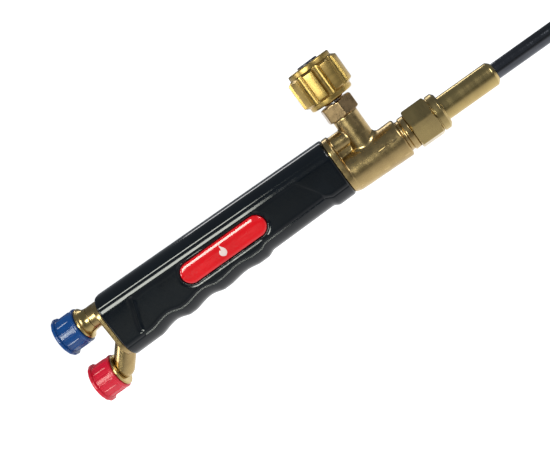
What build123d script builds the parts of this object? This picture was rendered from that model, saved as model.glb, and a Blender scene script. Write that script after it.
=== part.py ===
from build123d import *
import math
import os

os.makedirs("parts", exist_ok=True)

# Gas welding torch. Millimetres. The origin is on the oxygen inlet's axis, at the middle of its
# hose thread. +X runs along the torch towards the tip, +Z towards the oxygen knob, and the fuel
# knob stands on the +Y side.

# ------------------------------------------------------------------ driving dimensions
TORCH_Z = -20.0  # height of the barrel, mixer and tip axis

HANDLE_REAR = 22.6
HANDLE_LENGTH = 166.5
HANDLE_FRONT = HANDLE_REAR + HANDLE_LENGTH
HANDLE_WIDTH = 27.0
HANDLE_Z = -12.1
REAR_HEIGHT = 43.1
FRONT_HEIGHT = 37.0
TAPER = math.degrees(math.atan((REAR_HEIGHT - FRONT_HEIGHT) / 2 / HANDLE_LENGTH))
HANDLE_CORNER = 11.0
HANDLE_END_ROUND = 1.8
CAVITY_WIDTH = 21.0
CAVITY_HEIGHT = 30.4
CAVITY_CORNER = 8.0
GROOVES = ((56.4, 2.3), (82.5, 2.0), (109.2, 1.3))  # x and depth of each finger groove
GROOVE_RADIUS = 28.6
PALM_START = 127.0
PALM_END = 176.0
PALM_DEPTH = 1.8

BADGE_X = 107.0
BADGE_Z = -11.0
BADGE_LENGTH = 60.5
BADGE_HEIGHT = 13.2
BADGE_POCKET = 1.5
BADGE_PROUD = 0.8
BADGE_GAP = 0.5
BADGE_EDGE_ROUND = 0.7

SCREW_SPREAD = 22.0
SCREW_RADIUS = 1.5
SCREW_HEAD_RADIUS = 3.0
SCREW_HEAD_DEPTH = 1.8
SCREW_TIP_Y = -8.0
SCREW_CLEARANCE = 0.2
BOSS_RADIUS = 3.8

PIPE_RADIUS = 3.5
PIPE_BORE = 2.5
PIPE_GAP = 0.05
OXYGEN_PIPE_Z = -1.0
FUEL_PIPE_Z = -23.0

THREAD_RADIUS = 8.33  # G3/8 hose thread, major diameter 16.66
THREAD_HALF = 6.0
COLLAR_RADIUS = 10.4
COLLAR_WIDTH = 1.6
INLET_BORE = 3.0
FLARE_END = 13.0
NECK_RADIUS = 7.5
SHANK_RADIUS = 5.0
SHANK_END = 16.6
FUEL_INLET_X = 0.0
FUEL_INLET_Z = -36.2
ELBOW_RADIUS = 6.8
ELBOW_X = 9.3
PLATE_THICKNESS = 3.4
PLATE_WIDTH = 23.5
PLATE_HEIGHT = 38.6
PLATE_CORNER = 9.5

CAP_RADIUS = 11.2
CAP_FLANGE_RADIUS = 13.1
CAP_BORE = 9.0
CAP_RIM_X = 5.8
CAP_FLOOR_X = -7.2
CAP_END_X = -9.3
CAP_FLANGE_WIDTH = 2.0
CAP_RIBS = 16

FLANGE_THICKNESS = 3.8
FLANGE_WIDTH = 24.5
FLANGE_HEIGHT = 36.0
FLANGE_CORNER = 10.0
BARREL_REAR_RADIUS = 11.5
BARREL_FRONT_RADIUS = 12.15
BARREL_END = HANDLE_FRONT + 40.1
RELIEF_RADIUS = 9.5
RING_START = BARREL_END + 2.3
RING_END = BARREL_END + 5.7
RING_RADIUS = 10.5
UNION_THREAD_RADIUS = 10.0
BARREL_FACE = BARREL_END + 16.8
FRONT_BORE = 6.05
FRONT_BORE_DEPTH = 19.5
BOSS_TUBE_RADIUS = 6.0
BOSS_LENGTH = 14.0

OXYGEN_VALVE_X = HANDLE_FRONT + 19.9
FUEL_VALVE_X = HANDLE_FRONT + 11.5
TOWER_RADIUS = 8.0
SPIGOT_RADIUS = 7.0
SPIGOT_HEIGHT = 6.0
SPINDLE_CHAMBER = 4.05
SPINDLE_THREAD = 4.0
SPINDLE_RADIUS = 3.0
STUD_RADIUS = 2.4
PACKING_RADIUS = 5.0
PACKING_DEPTH = 4.0
GLAND_FLATS = 19.0
GLAND_HEIGHT = 9.6
KNOB_GAP = 1.8
GLAND_TURN = 39.0
FLUTE_START = 39.0
RUNNING_GAP = 0.05

UNION_FLATS = 23.0
UNION_START = BARREL_END + 6.1
UNION_HEX_LENGTH = 15.2
UNION_TURN = -15.2
UNION_END = UNION_START + 21.1
UNION_NOSE_RADIUS = 11.5
UNION_WALL = 4.9

MIXER_RADIUS = 7.5
MIXER_END = HANDLE_FRONT + 102.6
MIXER_CHAMFER = 2.0
MIXER_BORE = 2.5
SHOULDER_RADIUS = 9.0
SHOULDER_LENGTH = 3.5
TAIL_RADIUS = 5.9
TAIL_LENGTH = 16.0
O_RING_SECTION = 0.75
O_RING_PLACES = (3.5, 8.5)

TUBE_RADIUS = 5.0
TUBE_BORE = 3.0
TUBE_SOCKET = 9.0
TUBE_STRAIGHT_END = HANDLE_FRONT + 205.0
TUBE_BEND_RADIUS = 40.0
TUBE_BEND_ANGLE = 50.0
TUBE_LAST_RUN = 21.0
NOZZLE_OVERLAP = 6.0
NOZZLE_LENGTH = 26.0
NOZZLE_RADIUS = 6.5
NOZZLE_ORIFICE = 0.9

# ------------------------------------------------------------------ shared planes and profiles
TORCH_AXIS = Axis((0, 0, TORCH_Z), (1, 0, 0))
TORCH_PROFILE = Plane(origin=(0, 0, TORCH_Z), x_dir=(1, 0, 0), z_dir=(0, -1, 0))


def across(x, z=TORCH_Z):
    """A plane square to the torch at x, whose sketches have +Y to the right and +Z up."""
    return Plane(origin=(x, 0, z), x_dir=(0, 1, 0), z_dir=(1, 0, 0))


def beside(side, y, x, z):
    """A plane parallel to the handle's side at |Y| = y, facing away from the handle."""
    return Plane(origin=(x, side * y, z), x_dir=(1, 0, 0), z_dir=(0, side, 0))


def outline(points):
    """A closed straight-sided face in the sketch that is open."""
    Polygon(*points, align=None)


def ring(inner, outer):
    """A flat ring in the sketch that is open."""
    Circle(outer)
    Circle(inner, mode=Mode.SUBTRACT)


def write(piece, label):
    """Names a finished piece and writes its file."""
    piece.part.label = label
    export_step(piece.part, f"parts/{label}.step")


# ------------------------------------------------------------------ handle
def half_height(x):
    """Half the handle's height at x, which tapers from the rear to the front."""
    share = (x - HANDLE_REAR) / HANDLE_LENGTH
    return (REAR_HEIGHT + (FRONT_HEIGHT - REAR_HEIGHT) * share) / 2


def handle_shell(side, label):
    """One moulded half of the handle: side is -1 for -Y and 1 for +Y."""
    sections = (
        (HANDLE_REAR, HANDLE_END_ROUND),
        (HANDLE_REAR + HANDLE_END_ROUND, 0.0),
        (HANDLE_FRONT - HANDLE_END_ROUND, 0.0),
        (HANDLE_FRONT, HANDLE_END_ROUND),
    )
    with BuildPart() as shell:
        for x, inset in sections:
            with BuildSketch(across(x, HANDLE_Z)):
                RectangleRounded(
                    HANDLE_WIDTH - 2 * inset,
                    2 * (half_height(x) - inset),
                    HANDLE_CORNER - inset,
                )
        loft(ruled=True)
        with BuildSketch(Plane.XZ):
            for x, depth in GROOVES:
                floor = HANDLE_Z - half_height(x) + depth
                with Locations((x, floor - GROOVE_RADIUS)):
                    Circle(GROOVE_RADIUS)
            palm_x = (PALM_START + PALM_END) / 2
            with Locations(Location((palm_x, HANDLE_Z - half_height(palm_x) + PALM_DEPTH), TAPER)):
                Rectangle(PALM_END - PALM_START, 4 * PALM_DEPTH, align=(Align.CENTER, Align.MAX))
        extrude(amount=HANDLE_WIDTH, both=True, mode=Mode.SUBTRACT)
        with BuildSketch(across(HANDLE_REAR, HANDLE_Z)):
            RectangleRounded(CAVITY_WIDTH, CAVITY_HEIGHT, CAVITY_CORNER)
        extrude(amount=HANDLE_LENGTH, mode=Mode.SUBTRACT)
        with BuildSketch(Plane.XZ):
            with Locations((BADGE_X - SCREW_SPREAD, BADGE_Z), (BADGE_X + SCREW_SPREAD, BADGE_Z)):
                Circle(BOSS_RADIUS)
        extrude(amount=HANDLE_WIDTH / 2 - 2, both=True)
        with BuildSketch(beside(side, HANDLE_WIDTH / 2 - BADGE_POCKET, BADGE_X, BADGE_Z)):
            SlotOverall(BADGE_LENGTH + 2 * BADGE_GAP, BADGE_HEIGHT + 2 * BADGE_GAP)
        extrude(amount=3 * BADGE_POCKET, mode=Mode.SUBTRACT)
        with BuildSketch(Plane.XZ.offset(-HANDLE_WIDTH)):
            with Locations((BADGE_X - SCREW_SPREAD, BADGE_Z), (BADGE_X + SCREW_SPREAD, BADGE_Z)):
                Circle(SCREW_RADIUS + RUNNING_GAP)
        extrude(amount=HANDLE_WIDTH - SCREW_TIP_Y + 0.5, mode=Mode.SUBTRACT)
        if side > 0:
            head_y = HANDLE_WIDTH / 2 - BADGE_POCKET
            for x in (BADGE_X - SCREW_SPREAD, BADGE_X + SCREW_SPREAD):
                with BuildSketch(Plane(origin=(x, 0, BADGE_Z), x_dir=(1, 0, 0), z_dir=(0, 0, 1))):
                    outline(
                        [
                            (0, head_y - SCREW_HEAD_DEPTH - SCREW_CLEARANCE),
                            (SCREW_RADIUS, head_y - SCREW_HEAD_DEPTH - SCREW_CLEARANCE),
                            (SCREW_HEAD_RADIUS + SCREW_CLEARANCE, head_y - SCREW_CLEARANCE),
                            (SCREW_HEAD_RADIUS + SCREW_CLEARANCE, head_y + 1),
                            (0, head_y + 1),
                        ]
                    )
                revolve(axis=Axis((x, 0, BADGE_Z), (0, 1, 0)), mode=Mode.SUBTRACT)
        split(bisect_by=Plane.XZ, keep=Keep.BOTTOM if side > 0 else Keep.TOP)
    write(shell, label)


handle_shell(-1, "handle_right_shell")
handle_shell(1, "handle_left_shell")


def badge(side, label):
    """A domed oval plate that fills the pocket in one side of the handle."""
    floor_y = HANDLE_WIDTH / 2 - BADGE_POCKET
    with BuildPart() as plate:
        with BuildSketch(beside(side, floor_y, BADGE_X, BADGE_Z)):
            SlotOverall(BADGE_LENGTH, BADGE_HEIGHT)
        extrude(amount=BADGE_POCKET + BADGE_PROUD)
        outer = plate.faces().sort_by(Axis.Y)[-1 if side > 0 else 0]
        fillet(outer.edges(), radius=BADGE_EDGE_ROUND)
    write(plate, label)


badge(-1, "right_badge")
badge(1, "left_badge")

with BuildPart() as handle_screws:
    head_y = HANDLE_WIDTH / 2 - BADGE_POCKET - SCREW_CLEARANCE
    for x in (BADGE_X - SCREW_SPREAD, BADGE_X + SCREW_SPREAD):
        with BuildSketch(Plane(origin=(x, 0, BADGE_Z), x_dir=(1, 0, 0), z_dir=(0, 0, 1))):
            outline(
                [
                    (0, SCREW_TIP_Y),
                    (0.3 * SCREW_RADIUS, SCREW_TIP_Y),
                    (SCREW_RADIUS, SCREW_TIP_Y + 2),
                    (SCREW_RADIUS, head_y - SCREW_HEAD_DEPTH),
                    (SCREW_HEAD_RADIUS, head_y),
                    (0, head_y),
                ]
            )
        revolve(axis=Axis((x, 0, BADGE_Z), (0, 1, 0)))
write(handle_screws, "handle_screws")


# ------------------------------------------------------------------ gas pipes inside the handle
OXYGEN_PIPE_REAR = HANDLE_REAR - PLATE_THICKNESS
OXYGEN_PIPE_FRONT = HANDLE_FRONT + 11.0
FUEL_PIPE_REAR = HANDLE_REAR - PLATE_THICKNESS + 0.8
FUEL_PIPE_FRONT = HANDLE_FRONT + 6.0

for label, z, start, end in (
    ("oxygen_pipe", OXYGEN_PIPE_Z, OXYGEN_PIPE_REAR, OXYGEN_PIPE_FRONT),
    ("fuel_pipe", FUEL_PIPE_Z, FUEL_PIPE_REAR, FUEL_PIPE_FRONT),
):
    with BuildPart() as pipe:
        with BuildSketch(across(start, z)):
            ring(PIPE_BORE, PIPE_RADIUS)
        extrude(amount=end - start)
    write(pipe, label)


# ------------------------------------------------------------------ inlet block and nipples
PLATE_REAR = HANDLE_REAR - PLATE_THICKNESS
PLATE_Z = -12.3
ELBOW_TOP_X = PLATE_REAR + 0.9
ELBOW_TOP_Z = -24.6
NIPPLE_FACE = THREAD_HALF + COLLAR_WIDTH + FUEL_INLET_X

with BuildPart() as inlet_block:
    with BuildSketch(across(PLATE_REAR, PLATE_Z)):
        RectangleRounded(PLATE_WIDTH, PLATE_HEIGHT, PLATE_CORNER)
    extrude(amount=PLATE_THICKNESS)
    with BuildSketch(across(FLARE_END, 0)):
        Circle(NECK_RADIUS)
    extrude(amount=PLATE_REAR + 1 - FLARE_END)
    elbow_run = (ELBOW_TOP_X - ELBOW_X, 0, ELBOW_TOP_Z - FUEL_INLET_Z)
    elbow_plane = Plane(origin=(ELBOW_X, 0, FUEL_INLET_Z), x_dir=(0, 1, 0), z_dir=elbow_run)
    elbow_length = math.hypot(elbow_run[0], elbow_run[2])
    with BuildSketch(elbow_plane):
        Circle(ELBOW_RADIUS)
    extrude(amount=elbow_length)
    with BuildSketch(across(NIPPLE_FACE, FUEL_INLET_Z)):
        Circle(ELBOW_RADIUS)
    extrude(amount=ELBOW_X - NIPPLE_FACE)
    with Locations((ELBOW_X, 0, FUEL_INLET_Z)):
        Sphere(ELBOW_RADIUS)
    with BuildSketch(across(PLATE_REAR - 1.4, -16.0)):
        Rectangle(9, 15)
    extrude(amount=2.4)
    split(bisect_by=Plane.YZ.offset(HANDLE_REAR), keep=Keep.BOTTOM)
    split(bisect_by=Plane.YZ.offset(NIPPLE_FACE), keep=Keep.TOP)
    with BuildSketch(across(FLARE_END - 1, 0)):
        Circle(SHANK_RADIUS + RUNNING_GAP)
    extrude(amount=SHANK_END - FLARE_END + 1.2, mode=Mode.SUBTRACT)
    with BuildSketch(across(FLARE_END, 0)):
        Circle(PIPE_BORE)
    extrude(amount=PLATE_REAR + 1 - FLARE_END, mode=Mode.SUBTRACT)
    with BuildSketch(across(OXYGEN_PIPE_REAR, OXYGEN_PIPE_Z)):
        Circle(PIPE_RADIUS + PIPE_GAP)
    extrude(amount=PLATE_THICKNESS, mode=Mode.SUBTRACT)
    with BuildSketch(across(NIPPLE_FACE, FUEL_INLET_Z)):
        Circle(PIPE_RADIUS + 1 + RUNNING_GAP)
    extrude(amount=2.6, mode=Mode.SUBTRACT)
    with BuildSketch(elbow_plane):
        Circle(PIPE_BORE)
    extrude(amount=elbow_length - 1.5, mode=Mode.SUBTRACT)
    with BuildSketch(across(FUEL_PIPE_REAR, FUEL_PIPE_Z)):
        Circle(PIPE_RADIUS + PIPE_GAP)
    extrude(amount=PLATE_THICKNESS, mode=Mode.SUBTRACT)
write(inlet_block, "inlet_block")

inlet_profile = [
    (-THREAD_HALF, INLET_BORE + 3),
    (-THREAD_HALF, THREAD_RADIUS - 1),
    (-THREAD_HALF + 0.001, THREAD_RADIUS),
    (THREAD_HALF, THREAD_RADIUS),
    (THREAD_HALF, COLLAR_RADIUS),
    (THREAD_HALF + COLLAR_WIDTH, COLLAR_RADIUS),
]
flared_shank = [
    (THREAD_HALF + COLLAR_WIDTH + 0.6, COLLAR_RADIUS - 1.2),
    (FLARE_END, NECK_RADIUS),
    (FLARE_END, SHANK_RADIUS),
    (SHANK_END, SHANK_RADIUS),
    (SHANK_END, INLET_BORE),
]
plain_shank = [
    (THREAD_HALF + COLLAR_WIDTH, PIPE_RADIUS + 1),
    (THREAD_HALF + COLLAR_WIDTH + 2.4, PIPE_RADIUS + 1),
    (THREAD_HALF + COLLAR_WIDTH + 2.4, INLET_BORE),
]
cone_seat = [(-THREAD_HALF + 3, INLET_BORE)]

for label, x0, z0, shank in (
    ("oxygen_inlet_nipple", 0, 0, flared_shank),
    ("fuel_inlet_nipple", FUEL_INLET_X, FUEL_INLET_Z, plain_shank),
):
    with BuildPart() as nipple:
        with BuildSketch(Plane(origin=(x0, 0, z0), x_dir=(1, 0, 0), z_dir=(0, -1, 0))):
            outline(inlet_profile + shank + cone_seat)
        revolve(axis=Axis((x0, 0, z0), (1, 0, 0)))
    write(nipple, label)


# ------------------------------------------------------------------ push-on caps
for label, x0, z0 in (("oxygen_cap", 0, 0), ("fuel_cap", FUEL_INLET_X, FUEL_INLET_Z)):
    with BuildPart() as cap:
        with BuildSketch(Plane(origin=(x0, 0, z0), x_dir=(1, 0, 0), z_dir=(0, -1, 0))):
            outline(
                [
                    (CAP_END_X, 0),
                    (CAP_END_X, CAP_FLANGE_RADIUS - 1.5),
                    (CAP_END_X + 0.6, CAP_FLANGE_RADIUS),
                    (CAP_END_X + CAP_FLANGE_WIDTH, CAP_FLANGE_RADIUS),
                    (CAP_END_X + CAP_FLANGE_WIDTH + 0.5, CAP_RADIUS),
                    (CAP_RIM_X - 0.6, CAP_RADIUS),
                    (CAP_RIM_X, CAP_RADIUS - 0.6),
                    (CAP_RIM_X, CAP_BORE),
                    (CAP_FLOOR_X, CAP_BORE),
                    (CAP_FLOOR_X, 0),
                ]
            )
        revolve(axis=Axis((x0, 0, z0), (1, 0, 0)))
        with BuildSketch(across(x0 + CAP_END_X + CAP_FLANGE_WIDTH, z0)):
            with PolarLocations(CAP_RADIUS, CAP_RIBS):
                Circle(0.45)
        extrude(amount=9)
    write(cap, label)


# ------------------------------------------------------------------ valves
class Valve:
    """The sizes of one needle valve, whose heights are counted from the torch axis."""

    def __init__(self, name, x, way, tower_top, seat, seat_radius, knob_radius, knob_height, lobes):
        self.name = name
        self.x = x
        self.way = way
        self.tower_top = tower_top
        self.seat = seat
        self.seat_radius = seat_radius
        self.knob_radius = knob_radius
        self.knob_height = knob_height
        self.lobes = lobes
        self.axis = Axis((x, 0, TORCH_Z), way)
        self.gland_top = tower_top + GLAND_HEIGHT
        self.knob_bottom = self.gland_top + KNOB_GAP
        self.knob_top = self.knob_bottom + knob_height
        self.recess_floor = self.knob_top - 5.0

    def profile(self):
        """Sketches on this plane have the radius to the right and the height up."""
        sideways = (0, -1, 0) if self.way[2] else (0, 0, 1)
        return Plane(origin=(self.x, 0, TORCH_Z), x_dir=(1, 0, 0), z_dir=sideways)

    def level(self, height):
        """The plane square to the valve at a height."""
        foot = (self.x + height * self.way[0], height * self.way[1], TORCH_Z + height * self.way[2])
        return Plane(origin=foot, x_dir=(1, 0, 0), z_dir=self.way)


oxygen = Valve("oxygen", OXYGEN_VALVE_X, (0, 0, 1), 30.1, 9.5, 1.5, 16.5, 24.8, 9)
fuel = Valve("fuel", FUEL_VALVE_X, (0, 1, 0), 19.5, 7.0, 1.2, 11.0, 16.7, 9)
VALVES = (oxygen, fuel)


def spindle(valve):
    """The stem: a needle point, a threaded length, the part through the gland and the stud."""
    top = valve.tower_top
    needle = valve.seat_radius - 0.2
    with BuildPart() as stem:
        with BuildSketch(valve.profile()):
            outline(
                [
                    (0, valve.seat - 1.2),
                    (needle - 0.6, valve.seat - 1.0),
                    (needle, valve.seat + 0.1),
                    (2.6, valve.seat + 1.8),
                    (2.6, top - 8.2),
                    (SPINDLE_THREAD, top - 7.4),
                    (SPINDLE_THREAD, top - 1.7),
                    (SPINDLE_RADIUS, top - 1.2),
                    (SPINDLE_RADIUS, valve.recess_floor),
                    (STUD_RADIUS, valve.recess_floor),
                    (STUD_RADIUS, valve.recess_floor + 4.2),
                    (0, valve.recess_floor + 4.2),
                ]
            )
        revolve(axis=valve.axis)
    write(stem, f"{valve.name}_spindle")


def gland(valve):
    """The packing ring, the washer on it and the hexagon nut that presses them down."""
    floor = valve.tower_top + SPIGOT_HEIGHT - PACKING_DEPTH
    rim = valve.tower_top + SPIGOT_HEIGHT
    with BuildPart() as packing:
        with BuildSketch(valve.level(floor)):
            ring(SPINDLE_RADIUS + RUNNING_GAP, PACKING_RADIUS)
        extrude(amount=PACKING_DEPTH - 1)
    write(packing, f"{valve.name}_packing")
    with BuildPart() as washer:
        with BuildSketch(valve.level(rim - 1)):
            ring(SPINDLE_RADIUS + 2 * RUNNING_GAP, PACKING_RADIUS)
        extrude(amount=1)
    write(washer, f"{valve.name}_gland_washer")
    with BuildPart() as nut:
        with BuildSketch(valve.level(valve.tower_top)):
            RegularPolygon(GLAND_FLATS / 2, 6, major_radius=False, rotation=GLAND_TURN)
        extrude(amount=GLAND_HEIGHT)
        with BuildSketch(valve.profile()):
            outline(
                [
                    (0, valve.tower_top),
                    (GLAND_FLATS / 2 - 0.2, valve.tower_top),
                    (GLAND_FLATS / 2 + 2, valve.tower_top + 1.2),
                    (GLAND_FLATS / 2 + 2, valve.gland_top - 1.2),
                    (GLAND_FLATS / 2 - 0.2, valve.gland_top),
                    (0, valve.gland_top),
                ]
            )
        revolve(axis=valve.axis, mode=Mode.INTERSECT)
        with BuildSketch(valve.level(valve.tower_top)):
            Circle(SPIGOT_RADIUS + RUNNING_GAP)
        extrude(amount=SPIGOT_HEIGHT, mode=Mode.SUBTRACT)
        with BuildSketch(valve.level(rim)):
            Circle(SPINDLE_RADIUS + 0.2)
        extrude(amount=GLAND_HEIGHT, mode=Mode.SUBTRACT)
    write(nut, f"{valve.name}_gland_nut")


def knob(valve):
    """The fluted hand wheel with a plain rim at each end, its nut and the disc over the nut."""
    radius = valve.knob_radius
    rim = 0.84 * radius
    rim_height = 0.12 * valve.knob_height
    with BuildPart() as wheel:
        with BuildSketch(valve.level(valve.knob_bottom)):
            Circle(rim)
        extrude(amount=valve.knob_height)
        with BuildSketch(valve.level(valve.knob_bottom + rim_height)):
            Circle(radius)
            with PolarLocations(radius + 0.1, valve.lobes, start_angle=FLUTE_START):
                Circle(radius - rim, mode=Mode.SUBTRACT)
        extrude(amount=valve.knob_height - 2 * rim_height)
        with BuildSketch(valve.level(valve.recess_floor)):
            Circle(5.2)
        extrude(amount=10, mode=Mode.SUBTRACT)
        with BuildSketch(valve.level(valve.knob_bottom)):
            Circle(SPINDLE_RADIUS + RUNNING_GAP)
        extrude(amount=valve.knob_height, mode=Mode.SUBTRACT)
    write(wheel, f"{valve.name}_knob")
    with BuildPart() as nut:
        with BuildSketch(valve.level(valve.recess_floor)):
            RegularPolygon(4.0, 6, major_radius=False)
            Circle(STUD_RADIUS + RUNNING_GAP, mode=Mode.SUBTRACT)
        extrude(amount=4)
    write(nut, f"{valve.name}_knob_nut")
    with BuildPart() as disc:
        with BuildSketch(valve.level(valve.knob_top)):
            Circle(6.5)
        extrude(amount=1.1)
        with BuildSketch(valve.level(valve.knob_top - 0.5)):
            Circle(5.1)
        extrude(amount=0.5)
    write(disc, f"{valve.name}_knob_disc")


for each in VALVES:
    spindle(each)
    gland(each)
    knob(each)


# ------------------------------------------------------------------ valve body
with BuildPart() as valve_body:
    with BuildSketch(TORCH_PROFILE):
        outline(
            [
                (HANDLE_FRONT, 0),
                (HANDLE_FRONT, BARREL_REAR_RADIUS - 1),
                (HANDLE_FRONT + FLANGE_THICKNESS, BARREL_REAR_RADIUS),
                (BARREL_END - 0.9, BARREL_FRONT_RADIUS),
                (BARREL_END, BARREL_FRONT_RADIUS - 0.9),
                (BARREL_END, RELIEF_RADIUS),
                (RING_START, RELIEF_RADIUS),
                (RING_START, RING_RADIUS),
                (RING_END, RING_RADIUS),
                (RING_END, UNION_THREAD_RADIUS),
                (BARREL_FACE, UNION_THREAD_RADIUS),
                (BARREL_FACE, 0),
            ]
        )
    revolve(axis=TORCH_AXIS)
    with BuildSketch(oxygen.level(0)):
        Circle(TOWER_RADIUS)
    extrude(amount=oxygen.tower_top)
    tower_foot = [e for e in valve_body.edges() if 5 < e.center().Z - TORCH_Z < 16 and e.length > 20]
    fillet(tower_foot, radius=3.0)
    with BuildSketch(fuel.level(0)):
        Circle(TOWER_RADIUS)
    extrude(amount=fuel.tower_top)
    for valve in VALVES:
        with BuildSketch(valve.level(valve.tower_top - 1)):
            Circle(SPIGOT_RADIUS)
        extrude(amount=SPIGOT_HEIGHT + 1)
    with BuildSketch(across(HANDLE_FRONT, HANDLE_Z)):
        RectangleRounded(FLANGE_WIDTH, FLANGE_HEIGHT, FLANGE_CORNER)
    extrude(amount=FLANGE_THICKNESS)
    with BuildSketch(across(HANDLE_FRONT, OXYGEN_PIPE_Z)):
        Circle(BOSS_TUBE_RADIUS)
    extrude(amount=BOSS_LENGTH + 4)
    with BuildSketch(across(HANDLE_FRONT, TORCH_Z + 12)):
        Rectangle(8, 10)
    extrude(amount=BOSS_LENGTH + 4)
    # oxygen way: pipe socket, valve chamber, seat and the drilling to the injector
    with BuildSketch(across(HANDLE_FRONT, OXYGEN_PIPE_Z)):
        Circle(PIPE_RADIUS + PIPE_GAP)
    extrude(amount=OXYGEN_PIPE_FRONT - HANDLE_FRONT + 0.2, mode=Mode.SUBTRACT)
    with BuildSketch(across(HANDLE_FRONT, OXYGEN_PIPE_Z)):
        Circle(oxygen.seat_radius)
    extrude(amount=oxygen.x - HANDLE_FRONT, mode=Mode.SUBTRACT)
    for valve in VALVES:
        rim = valve.tower_top + SPIGOT_HEIGHT
        foot = 0 if valve is oxygen else 4.2
        with BuildSketch(valve.profile()):
            outline(
                [
                    (0, foot),
                    (valve.seat_radius, foot),
                    (valve.seat_radius, valve.seat),
                    (SPINDLE_CHAMBER, valve.seat + 2),
                    (SPINDLE_CHAMBER, rim - PACKING_DEPTH),
                    (PACKING_RADIUS, rim - PACKING_DEPTH),
                    (PACKING_RADIUS, rim),
                    (0, rim),
                ]
            )
        revolve(axis=valve.axis, mode=Mode.SUBTRACT)
    # fuel way: pipe socket, cross drilling to the chamber and the drilling to the front bore
    with BuildSketch(across(HANDLE_FRONT, FUEL_PIPE_Z)):
        Circle(PIPE_RADIUS + PIPE_GAP)
    extrude(amount=FUEL_PIPE_FRONT - HANDLE_FRONT + 4.5, mode=Mode.SUBTRACT)
    with BuildSketch(Plane(origin=(fuel.x - 3, 0, -22), x_dir=(1, 0, 0), z_dir=(0, 1, 0))):
        Circle(fuel.seat_radius)
    extrude(amount=fuel.seat + 4, mode=Mode.SUBTRACT)
    with BuildSketch(Plane(origin=(fuel.x, 5.2, TORCH_Z), x_dir=(0, 1, 0), z_dir=(1, 0, 0))):
        Circle(0.8)
    extrude(amount=BARREL_FACE - FRONT_BORE_DEPTH + 1 - fuel.x, mode=Mode.SUBTRACT)
    # front bore for the mixer's tail, and the injector's socket behind it
    with BuildSketch(TORCH_PROFILE):
        outline(
            [
                (oxygen.x, 0),
                (oxygen.x, oxygen.seat_radius),
                (BARREL_FACE - FRONT_BORE_DEPTH - 10, oxygen.seat_radius),
                (BARREL_FACE - FRONT_BORE_DEPTH - 10, 4.0),
                (BARREL_FACE - FRONT_BORE_DEPTH, 4.0),
                (BARREL_FACE - FRONT_BORE_DEPTH, FRONT_BORE),
                (BARREL_FACE, FRONT_BORE),
                (BARREL_FACE, 0),
            ]
        )
    revolve(axis=TORCH_AXIS, mode=Mode.SUBTRACT)
write(valve_body, "valve_body")

with BuildPart() as injector:
    rear = BARREL_FACE - FRONT_BORE_DEPTH - 10
    with BuildSketch(TORCH_PROFILE):
        outline(
            [
                (rear, 1.2),
                (rear, 4.0),
                (rear + 10, 4.0),
                (rear + 10, 3.4),
                (rear + 12, 2.0),
                (rear + 12, 0.5),
                (rear + 9, 0.5),
                (rear + 8, 1.2),
            ]
        )
    revolve(axis=TORCH_AXIS)
write(injector, "injector")


# ------------------------------------------------------------------ union nut
with BuildPart() as union_nut:
    with BuildSketch(across(UNION_START)):
        RegularPolygon(UNION_FLATS / 2, 6, major_radius=False, rotation=UNION_TURN)
    extrude(amount=UNION_HEX_LENGTH)
    with BuildSketch(TORCH_PROFILE):
        outline(
            [
                (UNION_START, 0),
                (UNION_START, UNION_FLATS / 2),
                (UNION_START + 1.0, UNION_FLATS / 2 + 2),
                (UNION_START + UNION_HEX_LENGTH - 1.2, UNION_FLATS / 2 + 2),
                (UNION_START + UNION_HEX_LENGTH, UNION_FLATS / 2 - 0.2),
                (UNION_START + UNION_HEX_LENGTH, 0),
            ]
        )
    revolve(axis=TORCH_AXIS, mode=Mode.INTERSECT)
    with BuildSketch(TORCH_PROFILE):
        outline(
            [
                (UNION_START + UNION_HEX_LENGTH - 1, 0),
                (UNION_START + UNION_HEX_LENGTH - 1, UNION_NOSE_RADIUS - 0.7),
                (UNION_START + UNION_HEX_LENGTH + 0.7, UNION_NOSE_RADIUS - 0.7),
                (UNION_START + UNION_HEX_LENGTH + 0.7, UNION_NOSE_RADIUS),
                (UNION_END - 1.6, UNION_NOSE_RADIUS),
                (UNION_END, UNION_NOSE_RADIUS - 1.6),
                (UNION_END, 0),
            ]
        )
    revolve(axis=TORCH_AXIS)
    with BuildSketch(across(UNION_START)):
        Circle(UNION_THREAD_RADIUS + RUNNING_GAP)
    extrude(amount=UNION_END - UNION_WALL - UNION_START, mode=Mode.SUBTRACT)
    with BuildSketch(across(UNION_START)):
        Circle(MIXER_RADIUS + 2 * RUNNING_GAP)
    extrude(amount=UNION_END - UNION_START, mode=Mode.SUBTRACT)
write(union_nut, "union_nut")

SHOULDER_START = BARREL_FACE + 0.2
SHOULDER_END = SHOULDER_START + SHOULDER_LENGTH
with BuildPart() as union_thrust_ring:
    with BuildSketch(across(SHOULDER_END + 0.2)):
        ring(MIXER_RADIUS + 2 * RUNNING_GAP, SHOULDER_RADIUS + 0.6)
    extrude(amount=UNION_END - UNION_WALL - SHOULDER_END - 0.4)
write(union_thrust_ring, "union_thrust_ring")


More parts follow.
